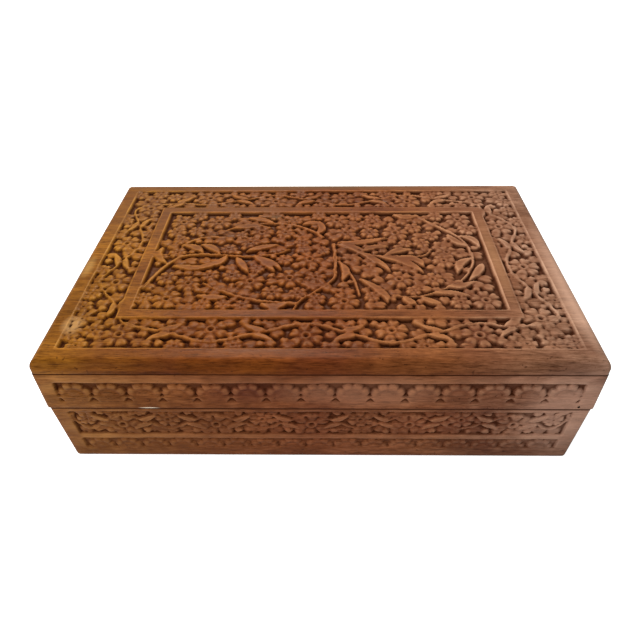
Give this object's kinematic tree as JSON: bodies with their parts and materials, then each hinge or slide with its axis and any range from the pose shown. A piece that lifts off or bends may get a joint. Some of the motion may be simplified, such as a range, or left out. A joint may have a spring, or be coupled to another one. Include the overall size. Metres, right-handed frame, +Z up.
{
  "type": "jewelry box",
  "caption": "Low rectangular carved wooden box with a hinged lid, velvet lining and fixed partitions for jewelry.",
  "frame": {"origin": "middle of the closed box's footprint, on the surface it stands on", "axes": "+X to the right along the box's length, +Y from front to back, +Z up"},
  "size_m": [0.28, 0.182, 0.0775],
  "materials": {
    "hardwood": "hand-carved, oiled and waxed, satin",
    "velvet": "short-pile velvet",
    "brass": "satin, slightly tarnished",
    "steel": "bright cut end"
  },
  "bodies": {
    "base": {"base_front_wall": "hardwood", "base_back_wall": "hardwood", "base_left_wall": "hardwood", "base_right_wall": "hardwood", "base_bottom_board": "hardwood", "base_floor_lining": "velvet", "base_wall_lining": "velvet", "long_divider": "velvet", "left_cross_divider": "velvet", "right_cross_divider": "velvet", "left_hinge_base_leaf": "brass", "right_hinge_base_leaf": "brass", "left_hinge_pin": "brass", "right_hinge_pin": "brass", "base_hinge_screws": "brass"},
    "lid": {"lid_top_board": "hardwood", "lid_front_rim": "hardwood", "lid_back_rim": "hardwood", "lid_left_rim": "hardwood", "lid_right_rim": "hardwood", "lid_ceiling_lining": "velvet", "lid_wall_lining": "velvet", "left_hinge_lid_leaf": "brass", "right_hinge_lid_leaf": "brass", "lid_hinge_screws": "brass", "rim_brad": "steel"}
  },
  "joints": [
    {"name": "lid_hinge", "type": "hinge", "parent": "base", "child": "lid", "pos_m": [0, 0.0874, 0.0445], "axis": [-1, 0, 0], "range_deg": [0, 100]}
  ]
}
